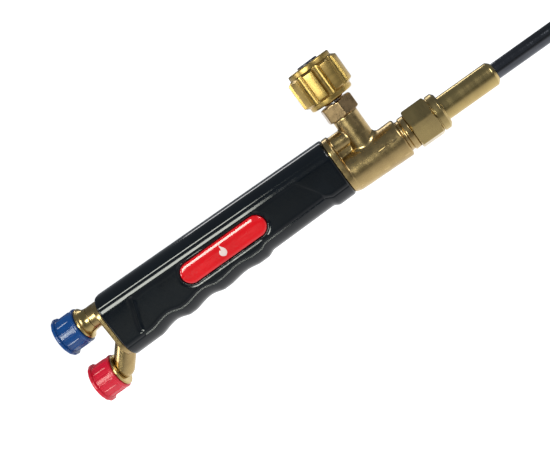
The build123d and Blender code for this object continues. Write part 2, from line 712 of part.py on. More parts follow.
# ------------------------------------------------------------------ mixer
TAIL_START = SHOULDER_START - TAIL_LENGTH
with BuildPart() as mixer_tube:
    with BuildSketch(TORCH_PROFILE):
        outline(
            [
                (TAIL_START, 3.2),
                (TAIL_START, TAIL_RADIUS - 0.8),
                (TAIL_START + 0.8, TAIL_RADIUS),
                (SHOULDER_START, TAIL_RADIUS),
                (SHOULDER_START, SHOULDER_RADIUS),
                (SHOULDER_END, SHOULDER_RADIUS),
                (SHOULDER_END, MIXER_RADIUS),
                (MIXER_END - MIXER_CHAMFER, MIXER_RADIUS),
                (MIXER_END, MIXER_RADIUS - MIXER_CHAMFER),
                (MIXER_END, TUBE_RADIUS + RUNNING_GAP),
                (MIXER_END - TUBE_SOCKET, TUBE_RADIUS + RUNNING_GAP),
                (MIXER_END - TUBE_SOCKET, MIXER_BORE),
                (TAIL_START + 5, MIXER_BORE - 1),
            ]
        )
    revolve(axis=TORCH_AXIS)
    for place in O_RING_PLACES:
        with BuildSketch(across(TAIL_START + place - O_RING_SECTION - 0.05)):
            ring(TAIL_RADIUS - 1.45, TAIL_RADIUS + 1)
        extrude(amount=2 * O_RING_SECTION + 0.1, mode=Mode.SUBTRACT)
write(mixer_tube, "mixer_tube")

with BuildPart() as mixer_o_rings:
    for place in O_RING_PLACES:
        with BuildSketch(TORCH_PROFILE):
            with Locations((TAIL_START + place, TAIL_RADIUS - 1.43 + O_RING_SECTION)):
                Circle(O_RING_SECTION)
        revolve(axis=TORCH_AXIS)
write(mixer_o_rings, "mixer_o_rings")


# ------------------------------------------------------------------ tip tube and nozzle
bend_angle = math.radians(TUBE_BEND_ANGLE)
bend_corner_x = TUBE_STRAIGHT_END + TUBE_BEND_RADIUS * math.tan(bend_angle / 2)
after_corner = TUBE_LAST_RUN + TUBE_BEND_RADIUS * math.tan(bend_angle / 2)
tip_way = (math.cos(bend_angle), 0, -math.sin(bend_angle))
tube_end = (bend_corner_x + after_corner * tip_way[0], 0, TORCH_Z + after_corner * tip_way[2])
TUBE_START = MIXER_END - TUBE_SOCKET

with BuildPart() as tip_tube:
    with BuildLine() as tube_path:
        FilletPolyline(
            (TUBE_START, 0, TORCH_Z),
            (bend_corner_x, 0, TORCH_Z),
            tube_end,
            radius=TUBE_BEND_RADIUS,
        )
    with BuildSketch(across(TUBE_START)):
        ring(TUBE_BORE, TUBE_RADIUS)
    sweep()
write(tip_tube, "tip_tube")

nozzle_foot = tuple(e - NOZZLE_OVERLAP * w for e, w in zip(tube_end, tip_way))
with BuildPart() as nozzle:
    with BuildSketch(Plane(origin=nozzle_foot, x_dir=tip_way, z_dir=(0, -1, 0))):
        outline(
            [
                (0, TUBE_RADIUS + RUNNING_GAP),
                (0, NOZZLE_RADIUS - 0.5),
                (0.5, NOZZLE_RADIUS),
                (NOZZLE_OVERLAP + 3, NOZZLE_RADIUS),
                (NOZZLE_OVERLAP + 4, NOZZLE_RADIUS - 1),
                (NOZZLE_LENGTH - 5, 4.2),
                (NOZZLE_LENGTH, 3.0),
                (NOZZLE_LENGTH, NOZZLE_ORIFICE),
                (NOZZLE_LENGTH - 8, NOZZLE_ORIFICE),
                (NOZZLE_LENGTH - 12, TUBE_BORE),
                (NOZZLE_OVERLAP + 0.1, TUBE_BORE),
                (NOZZLE_OVERLAP + 0.1, TUBE_RADIUS + RUNNING_GAP),
            ]
        )
    revolve(axis=Axis(nozzle_foot, tip_way))
write(nozzle, "nozzle")
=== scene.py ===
import math

import bmesh
import bpy
import numpy as np
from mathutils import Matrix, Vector


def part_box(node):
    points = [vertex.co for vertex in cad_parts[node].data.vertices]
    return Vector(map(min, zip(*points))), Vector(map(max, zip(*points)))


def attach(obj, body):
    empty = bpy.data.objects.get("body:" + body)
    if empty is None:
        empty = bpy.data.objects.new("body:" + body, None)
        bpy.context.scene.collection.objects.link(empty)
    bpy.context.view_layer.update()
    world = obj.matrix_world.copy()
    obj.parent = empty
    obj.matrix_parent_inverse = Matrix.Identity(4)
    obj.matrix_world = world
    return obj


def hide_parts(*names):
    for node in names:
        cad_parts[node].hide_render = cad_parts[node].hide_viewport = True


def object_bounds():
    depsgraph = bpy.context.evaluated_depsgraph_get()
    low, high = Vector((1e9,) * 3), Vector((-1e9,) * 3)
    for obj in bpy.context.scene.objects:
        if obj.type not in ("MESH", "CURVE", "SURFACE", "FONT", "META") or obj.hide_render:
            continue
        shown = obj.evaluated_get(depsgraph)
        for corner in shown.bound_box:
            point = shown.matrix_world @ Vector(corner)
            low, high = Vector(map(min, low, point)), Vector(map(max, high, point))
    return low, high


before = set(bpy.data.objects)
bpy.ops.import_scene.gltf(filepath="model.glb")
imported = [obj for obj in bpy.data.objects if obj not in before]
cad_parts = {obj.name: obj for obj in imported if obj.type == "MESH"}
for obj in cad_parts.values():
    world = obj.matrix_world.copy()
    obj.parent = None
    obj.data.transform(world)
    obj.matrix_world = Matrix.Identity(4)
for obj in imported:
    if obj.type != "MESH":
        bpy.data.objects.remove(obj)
cad_box = [list(corner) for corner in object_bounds()]

# Lengths below are millimetres in the frame of the CAD model, and MM turns them into metres.
MM = 0.001


# ------------------------------------------------------------------ places read from the CAD nodes
def corners(node):
    """The lowest and highest corner of a CAD node, in millimetres."""
    low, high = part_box(node)
    return np.array(low) / MM, np.array(high) / MM


class Line:
    """An axis with a zero direction, for pieces turned about it.

    Distances along it are counted from its origin, and angles from its zero direction.
    """

    def __init__(self, origin, way, zero):
        self.origin = np.array(origin, float)
        self.way = np.array(way, float) / np.linalg.norm(way)
        self.zero = np.array(zero, float)
        self.side = np.cross(self.way, self.zero)

    def points(self, along, radius, angle):
        """Points at the given distances along, radii and angles, all arrays of one shape."""
        return (
            self.origin
            + along[..., None] * self.way
            + (radius * np.cos(angle))[..., None] * self.zero
            + (radius * np.sin(angle))[..., None] * self.side
        )


handle_low, handle_high = corners("handle_right_shell")
mixer_low, mixer_high = corners("mixer_tube")
TORCH_Z = (mixer_low[2] + mixer_high[2]) / 2
union_low, union_high = corners("union_nut")
X_AXIS = (1, 0, 0)
Y_AXIS = (0, 1, 0)
Z_AXIS = (0, 0, 1)
torch = Line((0, 0, TORCH_Z), X_AXIS, Y_AXIS)


# ------------------------------------------------------------------ mesh building
def finish_piece(name, mesh, body, material, stands_for=(), sharp=32):
    """Links a mesh as a piece of the torch, smooth where faces meet at less than sharp degrees."""
    piece = bpy.data.objects.new(name, mesh)
    bpy.context.scene.collection.objects.link(piece)
    mesh.materials.clear()
    mesh.materials.append(material)
    mesh.shade_smooth()
    mesh.set_sharp_from_angle(angle=math.radians(sharp))
    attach(piece, body)
    if stands_for:
        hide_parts(*stands_for)
    return piece


def to_mesh(name, points, faces):
    """A clean mesh from points in millimetres: doubles merged and normals pointing out."""
    mesh = bpy.data.meshes.new(name)
    mesh.from_pydata([tuple(p) for p in np.asarray(points) * MM], [], faces)
    shape = bmesh.new()
    shape.from_mesh(mesh)
    bmesh.ops.remove_doubles(shape, verts=shape.verts, dist=2e-7)
    bmesh.ops.dissolve_degenerate(shape, edges=shape.edges, dist=1e-7)
    bmesh.ops.recalc_face_normals(shape, faces=shape.faces)
    shape.to_mesh(mesh)
    shape.free()
    return mesh


def grid_faces(rows, columns, wrap_rows, wrap_columns):
    """The quads of a grid of points stored row by row."""
    faces = []
    for i in range(rows if wrap_rows else rows - 1):
        for j in range(columns if wrap_columns else columns - 1):
            a = i * columns + j
            b = i * columns + (j + 1) % columns
            c = ((i + 1) % rows) * columns + (j + 1) % columns
            d = ((i + 1) % rows) * columns + j
            faces.append((a, b, c, d))
    return faces


def rounded(corner_list, steps=4, closed=True):
    """A profile through (along, radius, rounding) corners, with a small curve at each corner."""
    out = []
    count = len(corner_list)
    for i, (s, r, cut) in enumerate(corner_list):
        here = np.array((s, r), float)
        if cut <= 0 or (not closed and i in (0, count - 1)):
            out.append(here)
            continue
        before = np.array(corner_list[i - 1][:2], float)
        after = np.array(corner_list[(i + 1) % count][:2], float)
        back = min(cut, 0.48 * np.linalg.norm(before - here))
        on = min(cut, 0.48 * np.linalg.norm(after - here))
        start = here + back * (before - here) / np.linalg.norm(before - here)
        end = here + on * (after - here) / np.linalg.norm(after - here)
        for t in np.linspace(0, 1, steps + 1):
            out.append((1 - t) ** 2 * start + 2 * t * (1 - t) * here + t**2 * end)
    return np.array(out)


def divided(profile, step, closed=True):
    """The profile with no stretch longer than step."""
    out = []
    count = len(profile)
    for i in range(count if closed else count - 1):
        a = profile[i]
        b = profile[(i + 1) % count]
        parts = max(1, math.ceil(np.linalg.norm(b - a) / step))
        out.extend(a + (b - a) * k / parts for k in range(parts))
    if not closed:
        out.append(profile[-1])
    return np.array(out)


def turned(name, line, profile, closed=True, segments=96, shape=None):
    """A mesh turned about a line. shape(along, radius, angle) may change the radii."""
    angle = np.linspace(0, 2 * math.pi, segments, endpoint=False)
    along, angles = np.meshgrid(profile[:, 0], angle, indexing="ij")
    radius = np.repeat(profile[:, 1][:, None], segments, axis=1)
    if shape:
        radius = shape(along, radius, angles)
    points = line.points(along, radius, angles).reshape(-1, 3)
    return to_mesh(name, points, grid_faces(len(profile), segments, closed, True))


def softer_min(a, b, blend):
    """The smaller of two arrays, with a small rounding where they meet."""
    return -blend * np.logaddexp(-a / blend, -b / blend)


def hexagon(flats, turn, rounding=0.12):
    """The radius of a hexagon with slightly rounded corners as a function of the angle."""

    def radius(angle):
        out = np.full(angle.shape, 1e3)
        for k in range(6):
            lean = np.cos(angle - math.radians(turn + 30 + 60 * k))
            flat = np.where(lean > 0.3, flats / 2 / np.maximum(lean, 0.3), 1e3)
            out = softer_min(out, flat, rounding)
        return out

    return radius


def hex_shape(flats, turn, from_radius):
    """Limits the outside of a turned piece, where it is wider than from_radius, to a hexagon."""
    limit = hexagon(flats, turn)
    return lambda along, radius, angle: np.where(
        radius > from_radius, softer_min(radius, limit(angle), 0.1), radius
    )


def copied(node, name, voxel, smooth_steps):
    """The shape of a CAD node as one soft-edged skin, for pieces that are cast."""
    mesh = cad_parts[node].data.copy()
    piece = bpy.data.objects.new(name, mesh)
    bpy.context.scene.collection.objects.link(piece)
    skin = piece.modifiers.new("skin", "REMESH")
    skin.mode = "VOXEL"
    skin.voxel_size = voxel * MM
    soft = piece.modifiers.new("soft", "SMOOTH")
    soft.factor = 0.5
    soft.iterations = smooth_steps
    done = bpy.data.meshes.new_from_object(
        piece.evaluated_get(bpy.context.evaluated_depsgraph_get())
    )
    bpy.data.objects.remove(piece)
    done.name = name
    return done


# ------------------------------------------------------------------ materials
class Nodes:
    """Adds nodes and links to a material with few words."""

    def __init__(self, name):
        self.material = bpy.data.materials.new(name)
        self.material.use_nodes = True
        self.tree = self.material.node_tree
        self.tree.nodes.clear()
        self.output = self.add("ShaderNodeOutputMaterial")
        self.shader = self.add("ShaderNodeBsdfPrincipled")
        self.link(self.shader.outputs[0], self.output.inputs["Surface"])
        self.place = self.add("ShaderNodeTexCoord").outputs["Object"]

    def add(self, kind, **values):
        node = self.tree.nodes.new(kind)
        for key, value in values.items():
            setattr(node, key, value)
        return node

    def link(self, a, b):
        self.tree.links.new(a, b)

    def stretched(self, scale):
        """Object coordinates in metres times a scale along each axis."""
        mapping = self.add("ShaderNodeMapping")
        mapping.inputs["Scale"].default_value = scale
        self.link(self.place, mapping.inputs["Vector"])
        return mapping.outputs[0]

    def noise(self, scale, detail=3.0, rough=0.55, stretch=(1, 1, 1)):
        """Noise whose grains are 1 / scale metres across, drawn out by stretch."""
        node = self.add("ShaderNodeTexNoise")
        node.inputs["Scale"].default_value = 1.0
        node.inputs["Detail"].default_value = detail
        node.inputs["Roughness"].default_value = rough
        self.link(self.stretched(tuple(scale * s for s in stretch)), node.inputs["Vector"])
        return node.outputs["Fac"]

    def ramp(self, value, low, high, out_low, out_high):
        """Maps low..high to out_low..out_high."""
        node = self.add("ShaderNodeMapRange")
        node.inputs["From Min"].default_value = low
        node.inputs["From Max"].default_value = high
        node.inputs["To Min"].default_value = out_low
        node.inputs["To Max"].default_value = out_high
        self.link(value, node.inputs["Value"])
        return node.outputs[0]

    def mix(self, value, colour_a, colour_b):
        """A colour between two, each a tuple or a socket."""
        node = self.add("ShaderNodeMix", data_type="RGBA")
        self.link(value, node.inputs[0])
        for socket, colour in ((node.inputs[6], colour_a), (node.inputs[7], colour_b)):
            if isinstance(colour, tuple):
                socket.default_value = (*colour, 1)
            else:
                self.link(colour, socket)
        return node.outputs[2]

    def bump(self, value, height_mm, strength=1.0, below=None):
        """A bump of the given height, on top of another one."""
        node = self.add("ShaderNodeBump")
        node.inputs["Distance"].default_value = height_mm * MM
        node.inputs["Strength"].default_value = strength
        self.link(value, node.inputs["Height"])
        if below:
            self.link(below, node.inputs["Normal"])
        return node.outputs[0]

    def pointed(self, low, high):
        """0 in hollows and on flats, 1 on sharp edges."""
        node = self.add("ShaderNodeNewGeometry")
        return self.ramp(node.outputs["Pointiness"], low, high, 0, 1)


def brass(name, colour, dull, roughness, grain=(1, 1, 1), grain_height=0.004, cast=False):
    """Machined or cast brass: two tones, uneven polish, tool marks and paler worn edges."""
    m = Nodes(name)
    shader = m.shader
    shader.inputs["Metallic"].default_value = 1.0
    patches = m.ramp(m.noise(90, 4.0, 0.6), 0.35, 0.7, 0, 1)
    tone = m.mix(patches, colour, dull)
    worn = m.pointed(0.56, 0.66)
    bright = tuple(min(1.0, 1.12 * c + 0.02) for c in colour)
    m.link(m.mix(worn, tone, bright), shader.inputs["Base Color"])
    fine = m.noise(900, 3.0, 0.6, grain)
    m.link(
        m.ramp(m.noise(220, 4.0, 0.6, grain), 0.3, 0.75, roughness - 0.06, roughness + 0.1),
        shader.inputs["Roughness"],
    )
    marks = m.bump(fine, grain_height)
    if cast:
        marks = m.bump(m.noise(700, 2.0), 0.03, 0.6, marks)
    m.link(marks, shader.inputs["Normal"])
    return m.material


def plastic(name, colour, second, roughness, ripple=0.004, coat=0.0):
    """Moulded plastic: slight tone changes, a faint ripple, fine scuffs and uneven gloss."""
    m = Nodes(name)
    shader = m.shader
    tone = m.ramp(m.noise(60, 3.0), 0.35, 0.7, 0, 1)
    m.link(m.mix(tone, colour, second), shader.inputs["Base Color"])
    m.link(
        m.ramp(m.noise(160, 5.0, 0.65), 0.35, 0.75, roughness - 0.03, roughness + 0.06),
        shader.inputs["Roughness"],
    )
    shader.inputs["IOR"].default_value = 1.5
    if coat:
        shader.inputs["Coat Weight"].default_value = coat
        shader.inputs["Coat Roughness"].default_value = 0.04
    wave = m.bump(m.noise(120, 2.0), ripple)
    scuffs = m.bump(m.noise(1500, 2.0, 0.5, (0.15, 1, 1)), 0.0006, 0.5, wave)
    m.link(scuffs, shader.inputs["Normal"])
    return m.material


ALONG_X = (1.0, 0.02, 0.02)
ALONG_Z = (0.02, 0.02, 1.0)

brass_body = brass("brass body", (0.45, 0.33, 0.15), (0.35, 0.25, 0.115), 0.26, cast=True)
brass_turned = brass("brass turned", (0.50, 0.38, 0.16), (0.42, 0.31, 0.13), 0.22, ALONG_X)
brass_union = brass("brass union", (0.46, 0.35, 0.15), (0.36, 0.27, 0.12), 0.27, (1, 0.2, 0.2))
brass_gland = brass("brass gland", (0.37, 0.255, 0.135), (0.29, 0.20, 0.105), 0.28)
brass_knob = brass("brass knob", (0.47, 0.325, 0.105), (0.40, 0.275, 0.085), 0.31, ALONG_Z, 0.001)
copper = brass("copper", (0.78, 0.36, 0.20), (0.55, 0.22, 0.12), 0.26, ALONG_X)
steel = brass("steel", (0.62, 0.62, 0.64), (0.48, 0.48, 0.5), 0.25, ALONG_Z)
# The tip tube is bright chrome. Its base colour is painted near black to stand for the dark
# surroundings it reflects: a painted dark reflection.
chrome_with_painted_reflection = brass("chrome with painted reflection", (0.10, 0.105, 0.12), (0.06, 0.065, 0.075), 0.12, ALONG_X, 0.001)
handle_black = plastic("handle black", (0.002, 0.0042, 0.0072), (0.0014, 0.003, 0.0052), 0.11)
badge_red = plastic("badge red", (0.70, 0.006, 0.012), (0.62, 0.005, 0.010), 0.10, 0.002, 0.5)
cap_blue = plastic("cap blue", (0.001, 0.055, 0.23), (0.001, 0.043, 0.185), 0.24, 0.01)
cap_red = plastic("cap red", (0.60, 0.006, 0.030), (0.50, 0.005, 0.024), 0.30, 0.02)
disc_white = plastic("disc white", (0.82, 0.82, 0.83), (0.74, 0.74, 0.76), 0.3)
mark_white = plastic("mark white", (0.80, 0.66, 0.64), (0.72, 0.58, 0.56), 0.35)
disc_ink = plastic("disc ink", (0.02, 0.03, 0.06), (0.015, 0.02, 0.04), 0.3)
seal_black = plastic("seal black", (0.02, 0.02, 0.02), (0.012, 0.012, 0.012), 0.55, 0.01)

# ------------------------------------------------------------------ materials of the CAD nodes
node_materials = {
    "handle_right_shell": handle_black,
    "handle_left_shell": handle_black,
    "handle_screws": steel,
    "right_badge": badge_red,
    "left_badge": badge_red,
    "oxygen_pipe": copper,
    "fuel_pipe": copper,
    "inlet_block": brass_body,
    "oxygen_inlet_nipple": brass_turned,
    "fuel_inlet_nipple": brass_turned,
    "valve_body": brass_body,
    "injector": brass_turned,
    "oxygen_packing": seal_black,
    "fuel_packing": seal_black,
    "oxygen_gland_washer": steel,
    "fuel_gland_washer": steel,
    "oxygen_gland_nut": brass_gland,
    "fuel_gland_nut": brass_gland,
    "oxygen_spindle": steel,
    "fuel_spindle": steel,
    "oxygen_knob": brass_knob,
    "fuel_knob": brass_knob,
    "oxygen_knob_nut": steel,
    "fuel_knob_nut": steel,
    "oxygen_knob_disc": disc_white,
    "fuel_knob_disc": disc_white,
    "union_thrust_ring": steel,
    "union_nut": brass_union,
    "mixer_tube": brass_turned,
    "mixer_o_rings": seal_black,
    "tip_tube": chrome_with_painted_reflection,
    "nozzle": copper,
    "oxygen_cap": cap_blue,
    "fuel_cap": cap_red,
}
for node, material in node_materials.items():
    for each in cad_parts[node].material_slots:
        each.material = material

# ------------------------------------------------------------------ handle shells
HANDLE_REAR = handle_low[0]
HANDLE_FRONT = handle_high[0]
HALF_WIDTH = -handle_low[1]
HANDLE_Z = -12.1
REAR_HALF_HEIGHT = 21.55
FRONT_HALF_HEIGHT = 18.5
CORNER = 11.0
END_ROUND = 1.8
SEAM = 0.18  # bevel where the two shells meet
CAVITY = (10.5, 15.2, 8.0)  # half width, half height and corner of the hollow
GROOVES = ((33.8, 2.3), (59.9, 2.0), (86.6, 1.3))  # middle, from the handle's rear, and depth
GROOVE_REACH = (13.0, 9.4)  # how far a groove runs towards the rear and towards the front
CREASE_TOP = 65.9  # degrees round the top corner from straight up
CREASE_BOTTOM = 72.0  # degrees round the bottom corner from straight down
CREASE_DEPTH = 0.22
CREASE_HALF = 0.50
SECTION_STEP = 0.55  # between two sections along the handle
PANEL_DEPTH = 0.45
PANEL_EDGE = 1.6  # how far the step at the panel's edge is spread
OUTLINE_DEPTH = 0.3  # the thin line round the badge
OUTLINE_GAP = 1.55
OUTLINE_HALF = 0.4
SWOOSH_DEPTH = 0.9  # the groove down the rear edge of the grip panel
SWOOSH_HALF = 1.3
PALM = (HANDLE_REAR + 101.8, HANDLE_REAR + 155.2, 1.8)  # start, end and depth
PANEL_REAR = (HANDLE_REAR + 22.5, -8.0)  # x at the top crease, and how far it moves on the way down
PANEL_FRONT = (HANDLE_REAR + 141.5, 10.0)
badge_low, badge_high = corners("right_badge")
BADGE_X = (badge_low[0] + badge_high[0]) / 2
BADGE_Z = (badge_low[2] + badge_high[2]) / 2
BADGE_HALF_LENGTH = (badge_high[0] - badge_low[0]) / 2
BADGE_RADIUS = (badge_high[2] - badge_low[2]) / 2
POCKET_GAP = 0.5
POCKET_DEPTH = 1.5


def smooth(value):
    """A soft step from 0 to 1 as value goes from 0 to 1."""
    t = np.clip(value, 0, 1)
    return t * t * (3 - 2 * t)


def finger_lift(x):
    """How far the finger grooves and the palm recess raise the underside at x."""
    lift = PALM[2] * smooth((x - PALM[0]) / 6.0) * smooth((PALM[1] - x) / 4.5)
    for middle, depth in GROOVES:
        past = x - HANDLE_REAR - middle
        reach = np.where(past < 0, GROOVE_REACH[0], GROOVE_REACH[1])
        lift = lift + depth * (0.5 + 0.5 * np.cos(math.pi * np.clip(past / reach, -1, 1))) ** 0.7
    return lift


def from_badge(x, z):
    """The distance of a point on the side from the badge's outline, less than 0 inside it."""
    past = np.maximum(np.abs(x - BADGE_X) - (BADGE_HALF_LENGTH - BADGE_RADIUS), 0)
    return np.hypot(past, z - BADGE_Z) - BADGE_RADIUS


def section_places():
    """The points of a section, from the top seam to the bottom seam, as (stretch, value)."""
    places = [("seam", 0.0)]
    places += [("top", v) for v in (0.06, 0.35, 0.7)]
    turn = np.radians(
        np.concatenate((np.linspace(0, 61, 12), np.linspace(62, 70, 11), np.linspace(72, 86, 5)))
    )
    places += [("top corner", v) for v in turn]
    places += [("side", v) for v in np.linspace(0, 1, 44)]
    turn = np.radians(
        np.concatenate((np.linspace(86, 77, 4), np.linspace(76, 68, 11), np.linspace(64, 0, 12)))
    )
    places += [("bottom corner", v) for v in turn]
    places += [("bottom", v) for v in (0.7, 0.35, 0.06)]
    places += [("seam", 1.0)]
    return places


def section(places, width, top, bottom, corner, seam):
    """Points of half a rounded oblong, and the way each faces.

    top and bottom are arrays, with one value for each section along the handle.
    """
    y = []
    z = []
    facing = []
    flat = width - corner
    for stretch, value in places:
        if stretch == "seam":
            y.append(np.zeros_like(top))
            z.append(top - seam if value == 0 else seam - bottom)
            facing.append((0, 0))
        elif stretch == "top":
            y.append(value * flat)
            z.append(top)
            facing.append((0, 1))
        elif stretch == "bottom":
            y.append(value * flat)
            z.append(-bottom)
            facing.append((0, -1))
        elif stretch == "side":
            y.append(width)
            z.append(top - corner + value * (2 * corner - top - bottom))
            facing.append((1, 0))
        else:
            up = 1 if stretch == "top corner" else -1
            y.append(flat + corner * math.sin(value))
            z.append(up * ((top if up > 0 else bottom) - corner + corner * math.cos(value)))
            facing.append((math.sin(value), up * math.cos(value)))
    return np.stack(y, 1), np.stack(z, 1), np.array(facing)


def carving(places, x, z, z_creases):
    """How deep the creases, the grip panel, the badge's pocket and the line round it are cut."""
    depth = np.zeros_like(z)
    down = (z_creases[0][:, None] - z) / (z_creases[0] - z_creases[1])[:, None]
    past_rear = x[:, None] - PANEL_REAR[0] - PANEL_REAR[1] * smooth(down)
    panel = smooth(past_rear / PANEL_EDGE)
    panel *= smooth((PANEL_FRONT[0] + PANEL_FRONT[1] * smooth(down) - x[:, None]) / PANEL_EDGE)
    panel *= smooth((down - 0.12) / 0.16)
    edge = from_badge(x[:, None] + 0 * z, z + HANDLE_Z)
    on_side = np.array([stretch == "side" for stretch, value in places])
    for j, (stretch, value) in enumerate(places):
        if stretch.endswith("corner"):
            crease = CREASE_TOP if stretch == "top corner" else CREASE_BOTTOM
            past = CORNER * (value - math.radians(crease))
            groove = CREASE_DEPTH * math.exp(-((past / CREASE_HALF) ** 2))
            if stretch == "top corner":
                depth[:, j] += groove
            else:
                depth[:, j] += groove * (1 - panel[:, j])
                depth[:, j] += PANEL_DEPTH * smooth((past + 0.3) / 0.8) * panel[:, j]
        elif stretch == "side":
            depth[:, j] += PANEL_DEPTH * panel[:, j]
    line = OUTLINE_DEPTH * np.exp(-(((edge - OUTLINE_GAP) / OUTLINE_HALF) ** 2))
    swoosh = SWOOSH_DEPTH * np.exp(-((past_rear / SWOOSH_HALF) ** 2))
    line = line + swoosh * smooth((down - 0.1) / 0.1)
    pocket = (POCKET_DEPTH - PANEL_DEPTH) * smooth((POCKET_GAP + 0.2 - edge) / 0.5)
    return depth + np.where(on_side[None, :], line + pocket, 0)


def handle_half(side, name, stands_for):
    """One moulded half of the handle, with its creases, finger grooves, grip panel and pocket."""
    turn = np.radians(np.linspace(0, 90, 7))
    rear = HANDLE_REAR + END_ROUND * (1 - np.cos(turn))
    straight = (HANDLE_REAR + END_ROUND + 0.5, HANDLE_FRONT - END_ROUND - 0.3)
    middle = np.arange(*straight, SECTION_STEP)
    x = np.concatenate((rear, middle, HANDLE_REAR + HANDLE_FRONT - rear[::-1]))
    from_end = np.minimum(x - HANDLE_REAR, HANDLE_FRONT - x)
    inside = np.clip(1 - from_end / END_ROUND, 0, 1)
    inset = END_ROUND * (1 - np.sqrt(1 - inside**2))
    share = (x - HANDLE_REAR) / (HANDLE_FRONT - HANDLE_REAR)
    top = REAR_HALF_HEIGHT + (FRONT_HALF_HEIGHT - REAR_HALF_HEIGHT) * share - inset
    bottom = top - finger_lift(x)
    places = section_places()
    y, z, facing = section(places, HALF_WIDTH - inset, top, bottom, CORNER - inset, SEAM)
    creases = (
        top - CORNER * (1 - math.cos(math.radians(CREASE_TOP))),
        CORNER * (1 - math.cos(math.radians(CREASE_BOTTOM))) - bottom,
    )
    depth = carving(places, x, z, creases)
    y = y - depth * facing[:, 0]
    z = z - depth * facing[:, 1]
    flat = np.full_like(x, CAVITY[1])
    y_in, z_in, _ = section(places, CAVITY[0] + 0 * x, flat, flat, CAVITY[2] + 0 * x, 0)
    rows = len(x)
    columns = len(places)
    outer = np.stack((np.repeat(x[:, None], columns, 1), side * y, z + HANDLE_Z), -1)
    inner = np.stack((np.repeat(x[:, None], columns, 1), side * y_in, z_in + HANDLE_Z), -1)
    points = np.concatenate((outer, inner[:, ::-1]), 1).reshape(-1, 3)
    faces = grid_faces(rows, 2 * columns, False, True)
    for row in (0, rows - 1):
        for j in range(columns - 1):
            first = row * 2 * columns
            last = first + 2 * columns - 1
            faces.append((first + j, first + j + 1, last - 1 - j, last - j))
    mesh = to_mesh(name, points, faces)
    return finish_piece(name, mesh, "root", handle_black, [stands_for], 75)


handle_half(-1, "right_grip_shell", "handle_right_shell")
handle_half(1, "left_grip_shell", "handle_left_shell")

# ------------------------------------------------------------------ badges and their flame mark
BADGE_CROWN = (
    (0, 14.3), (0.25, 14.29), (0.45, 14.25), (0.62, 14.17), (0.76, 14.04), (0.86, 13.88),
    (0.92, 13.7), (0.96, 13.45), (0.985, 13.1), (1.0, 12.7), (1.0, 12.0), (0, 12.0),
)
FLAME = (
    (0, 2.9), (0.75, 1.7), (1.55, 0.55), (1.85, -0.75), (1.35, -2.05), (0, -2.75),
    (-1.35, -2.05), (-1.85, -0.8), (-1.4, 0.3), (-0.85, 0.75), (-0.55, 0.1), (-0.1, 1.2),
)
FLAME_SCALE = 1.3
FLAME_X = -0.5


def crown(reach):
    """The height of the badge's face at a share of its half height from its middle line."""
    shares = [share for share, height in BADGE_CROWN[:10]]
    heights = [height for share, height in BADGE_CROWN[:10]]
    return np.interp(reach, shares, heights)


def badge_plate(side, name, stands_for):
    """A domed oval plate: rings round a straight middle line."""
    count = 96
    angle = np.linspace(0, 2 * math.pi, count, endpoint=False) + math.pi / count
    core = (BADGE_HALF_LENGTH - BADGE_RADIUS) * np.where(np.cos(angle) > 0, 1, -1)
    points = []
    for share, height in BADGE_CROWN:
        x = BADGE_X + core + share * BADGE_RADIUS * np.cos(angle)
        z = BADGE_Z + share * BADGE_RADIUS * np.sin(angle)
        points.append(np.stack((x, np.full(count, side * height), z), -1))
    mesh = to_mesh(name, np.concatenate(points), grid_faces(len(BADGE_CROWN), count, False, True))
    return finish_piece(name, mesh, "root", badge_red, [stands_for], 50)


def flame_mark(side, name):
    """A plain raised flame on the badge, in rings from its outline to its middle."""
    spline = []
    count = len(FLAME)
    for i in range(count):
        a, b, c, d = (np.array(FLAME[(i + k - 1) % count], float) for k in range(4))
        for t in np.linspace(0, 1, 5)[:-1]:
            spline.append(
                b + 0.5 * t * (c - a + t * (2 * a - 5 * b + 4 * c - d + t * (3 * (b - c) + d - a)))
            )
    spline = FLAME_SCALE * np.array(spline)
    rings = []
    for shrink, rise in ((1.0, -0.25), (1.0, 0.06), (0.93, 0.12), (0.5, 0.12), (0.0, 0.12)):
        flat = spline * shrink
        x = BADGE_X + FLAME_X + flat[:, 0]
        z = BADGE_Z + flat[:, 1]
        y = side * (crown(np.abs(z - BADGE_Z) / BADGE_RADIUS) + rise)
        rings.append(np.stack((x, y, z), -1))
    mesh = to_mesh(name, np.concatenate(rings), grid_faces(len(rings), len(spline), False, True))
    return finish_piece(name, mesh, "root", mark_white, (), 40)


badge_plate(-1, "right_badge_plate", "right_badge")
badge_plate(1, "left_badge_plate", "left_badge")
flame_mark(-1, "right_flame_mark")
flame_mark(1, "left_flame_mark")

# ------------------------------------------------------------------ caps, nipples and inlet block
CAP_RIBS = 16
RIB_HEIGHT = 0.4
CAP_RADIUS = 11.2
CAP_BORE = 9.0
CAP_FLANGE = 13.1
CAP_LIP = 11.5
THREAD_PITCH = 1.337
THREAD_DEPTH = 0.78
THREAD_RADIUS = 8.33
THREAD_START, THREAD_END = -5.6, 5.75  # from the middle of the thread
NIPPLE_MIDDLE = 6.0  # from a nipple's open end to the middle of its thread
COLLAR_RADIUS = 10.4


def cap_shape(body_low, body_high):
    """Small ribs along the outside of a cap, and shallow dents round its flange."""

    def shape(along, radius, angle):
        rib = np.exp(-(((CAP_RIBS * angle / math.pi + 1) % 2 - 1) / 0.16) ** 2)
        on_body = smooth((along - body_low) / 0.6) * smooth((body_high - along) / 1.6)
        outside = radius > CAP_BORE + 1
        flange = (radius > CAP_RADIUS + 1.2) * 0.22 * (0.5 - 0.5 * np.cos(CAP_RIBS * angle))
        return radius + np.where(outside, RIB_HEIGHT * rib * on_body - flange, 0)

    return shape


